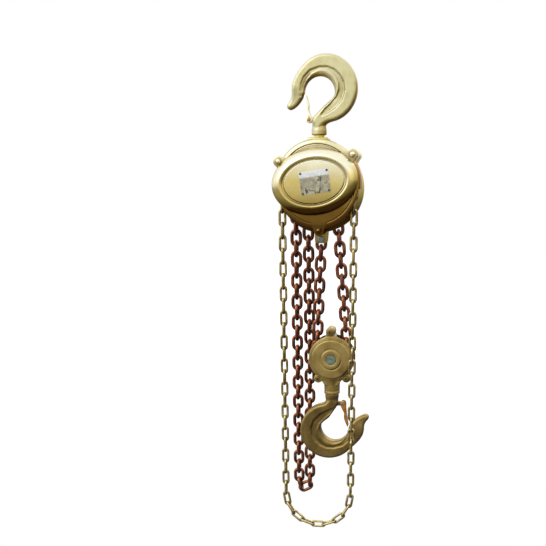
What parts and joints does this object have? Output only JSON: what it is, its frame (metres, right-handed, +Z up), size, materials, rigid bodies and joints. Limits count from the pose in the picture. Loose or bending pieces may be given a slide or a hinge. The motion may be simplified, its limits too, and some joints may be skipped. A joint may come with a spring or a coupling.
{
  "type": "chain hoist",
  "caption": "Hand chain hoist hung by a latched hook, with a geared housing, round covers, hand chain loop, and a load chain carrying a hook block.",
  "frame": {"origin": "The saddle of the top hook, where the shackle or trolley pin bears at the top of the bowl, in the plane of the load chain.", "axes": "+Z points up along the hanging hoist. +Y points from the hand-wheel cover to the gear cover, away from the operator. +X points right as seen from the hand-wheel side."},
  "size_m": [0.1844, 0.138, 0.918],
  "materials": {
    "satin_gold_steel": "satin, gold lacquered forged steel",
    "bronze_steel": "satin, olive gold lacquered steel",
    "gold_steel": "glossy, gold lacquered pressed steel",
    "bright_gold_steel": "satin, bright gold plated steel",
    "copper_steel": "satin, copper coloured plated steel",
    "load_chain_steel": "satin, copper brown hardened steel",
    "hand_chain_steel": "satin, antique brass coloured steel",
    "bare_plate": "satin, bare sheet",
    "bare_steel": "satin, bare steel",
    "cast_iron": "rough, cast",
    "friction_lining": "matt, pressed brake lining",
    "spring_steel": "smooth, spring wire"
  },
  "bodies": {
    "top_hook": {"top_hook": "satin_gold_steel", "top_latch_rivet": "copper_steel", "top_latch_spring": "spring_steel", "top_hook_nut": "bare_steel"},
    "top_latch": {"top_latch": "gold_steel"},
    "yoke": {"yoke": "bright_gold_steel"},
    "frame": {"side_plate_wheel": "gold_steel", "side_plate_gear": "gold_steel", "stay_bolt_left": "bright_gold_steel", "stay_bolt_right": "bright_gold_steel", "stay_bolt_bottom": "bright_gold_steel", "stay_nut_left": "bright_gold_steel", "stay_nut_right": "bright_gold_steel", "stay_nut_bottom": "bright_gold_steel", "gear_cover": "gold_steel", "wheel_cover_skirt": "gold_steel", "wheel_cover_dome": "gold_steel", "nameplate": "bare_plate", "plate_rivet_1": "bare_plate", "plate_rivet_2": "bare_plate", "plate_rivet_3": "bare_plate", "plate_rivet_4": "bare_plate", "ratchet_disc": "bare_steel", "pawl_pin": "bare_steel", "pawl_spring": "spring_steel", "load_bearing_wheel": "bare_steel", "load_bearing_gear": "bare_steel", "anchor_lug": "bright_gold_steel", "anchor_bolt": "bare_steel", "slack_pin": "bare_steel", "load_chain_falls": "load_chain_steel", "load_chain_slack": "load_chain_steel", "hand_chain": "hand_chain_steel"},
    "pawl": {"pawl": "bare_steel"},
    "hand_wheel": {"hand_wheel": "cast_iron", "friction_disc_inner": "friction_lining", "friction_disc_outer": "friction_lining", "brake_hub": "bare_steel", "drive_shaft": "bare_steel", "hub_nut": "bare_steel"},
    "idler_left": {"idler_gear_left": "bare_steel"},
    "idler_right": {"idler_gear_right": "bare_steel"},
    "load_sheave": {"load_sheave": "cast_iron", "load_gear": "bare_steel"},
    "block": {"block_half_front": "bronze_steel", "block_half_back": "bronze_steel", "block_axle": "bare_steel", "block_screw_top": "bare_steel", "block_screw_left": "bare_steel", "block_screw_right": "bare_steel"},
    "lower_sheave": {"lower_sheave": "cast_iron"},
    "lower_hook": {"lower_hook": "bronze_steel", "lower_hook_nut": "bare_steel", "lower_latch_rivet": "bare_steel", "lower_latch_spring": "spring_steel"},
    "lower_latch": {"lower_latch": "copper_steel"}
  },
  "joints": [
    {"name": "top_swivel", "type": "hinge", "parent": "top_hook", "child": "yoke", "pos_m": [0, 0, -0.118], "axis": [0, 0, 1], "continuous": true},
    {"name": "yoke_rock", "type": "hinge", "parent": "yoke", "child": "frame", "pos_m": [0, 0, -0.13], "axis": [0, 1, 0], "range_deg": [-8, 8]},
    {"name": "top_latch_open", "type": "hinge", "parent": "top_hook", "child": "top_latch", "pos_m": [-0.0185, 0, -0.0748], "axis": [0, 1, 0], "range_deg": [0, 38], "stiffness_Nm_per_rad": 0.03, "springref_deg": -28.65, "deforming": ["top_latch_spring"]},
    {"name": "pawl_lift", "type": "hinge", "parent": "frame", "child": "pawl", "pos_m": [-0.01847, -0.034, -0.14585], "axis": [0, 1, 0], "range_deg": [0, 12], "stiffness_Nm_per_rad": 0.03, "springref_deg": -28.65, "deforming": ["pawl_spring"]},
    {"name": "hand_wheel_spin", "type": "hinge", "parent": "frame", "child": "hand_wheel", "pos_m": [0.005, -0.052, -0.19], "axis": [0, -1, 0], "range_deg": [0, 9642.83], "deforming": ["load_chain_slack", "hand_chain"]},
    {"name": "idler_left_spin", "type": "hinge", "parent": "frame", "child": "idler_left", "pos_m": [-0.03071, 0.035, -0.203], "axis": [0, -1, 0], "range_deg": [-2571.47, 0]},
    {"name": "idler_right_spin", "type": "hinge", "parent": "frame", "child": "idler_right", "pos_m": [0.04071, 0.035, -0.177], "axis": [0, -1, 0], "range_deg": [-2571.47, 0]},
    {"name": "load_sheave_spin", "type": "hinge", "parent": "frame", "child": "load_sheave", "pos_m": [0.005, 0, -0.19], "axis": [0, -1, 0], "range_deg": [0, 685.73]},
    {"name": "hook_lift", "type": "slide", "parent": "frame", "child": "block", "axis": [0, 0, 1], "range_m": [0, 0.16], "deforming": ["load_chain_falls"]},
    {"name": "lower_sheave_spin", "type": "hinge", "parent": "block", "child": "lower_sheave", "pos_m": [0.027, 0, -0.52517], "axis": [0, -1, 0], "range_deg": [0, 284.97]},
    {"name": "lower_swivel", "type": "hinge", "parent": "block", "child": "lower_hook", "pos_m": [0.027, 0, -0.59517], "axis": [0, 0, 1], "continuous": true},
    {"name": "lower_latch_open", "type": "hinge", "parent": "lower_hook", "child": "lower_latch", "pos_m": [0.0506, 0, -0.62079], "axis": [0, 1, 0], "range_deg": [0, 38], "stiffness_Nm_per_rad": 0.03, "springref_deg": -28.65, "deforming": ["lower_latch_spring"]}
  ],
  "couplings": [
    {"joint": "idler_left_spin", "follows": "hand_wheel_spin", "ratio": -0.26667},
    {"joint": "idler_right_spin", "follows": "hand_wheel_spin", "ratio": -0.26667},
    {"joint": "load_sheave_spin", "follows": "hand_wheel_spin", "ratio": 0.071111},
    {"joint": "hook_lift", "follows": "hand_wheel_spin", "m_per_rad": 0.00095069},
    {"joint": "lower_sheave_spin", "follows": "hand_wheel_spin", "ratio": 0.029552}
  ]
}
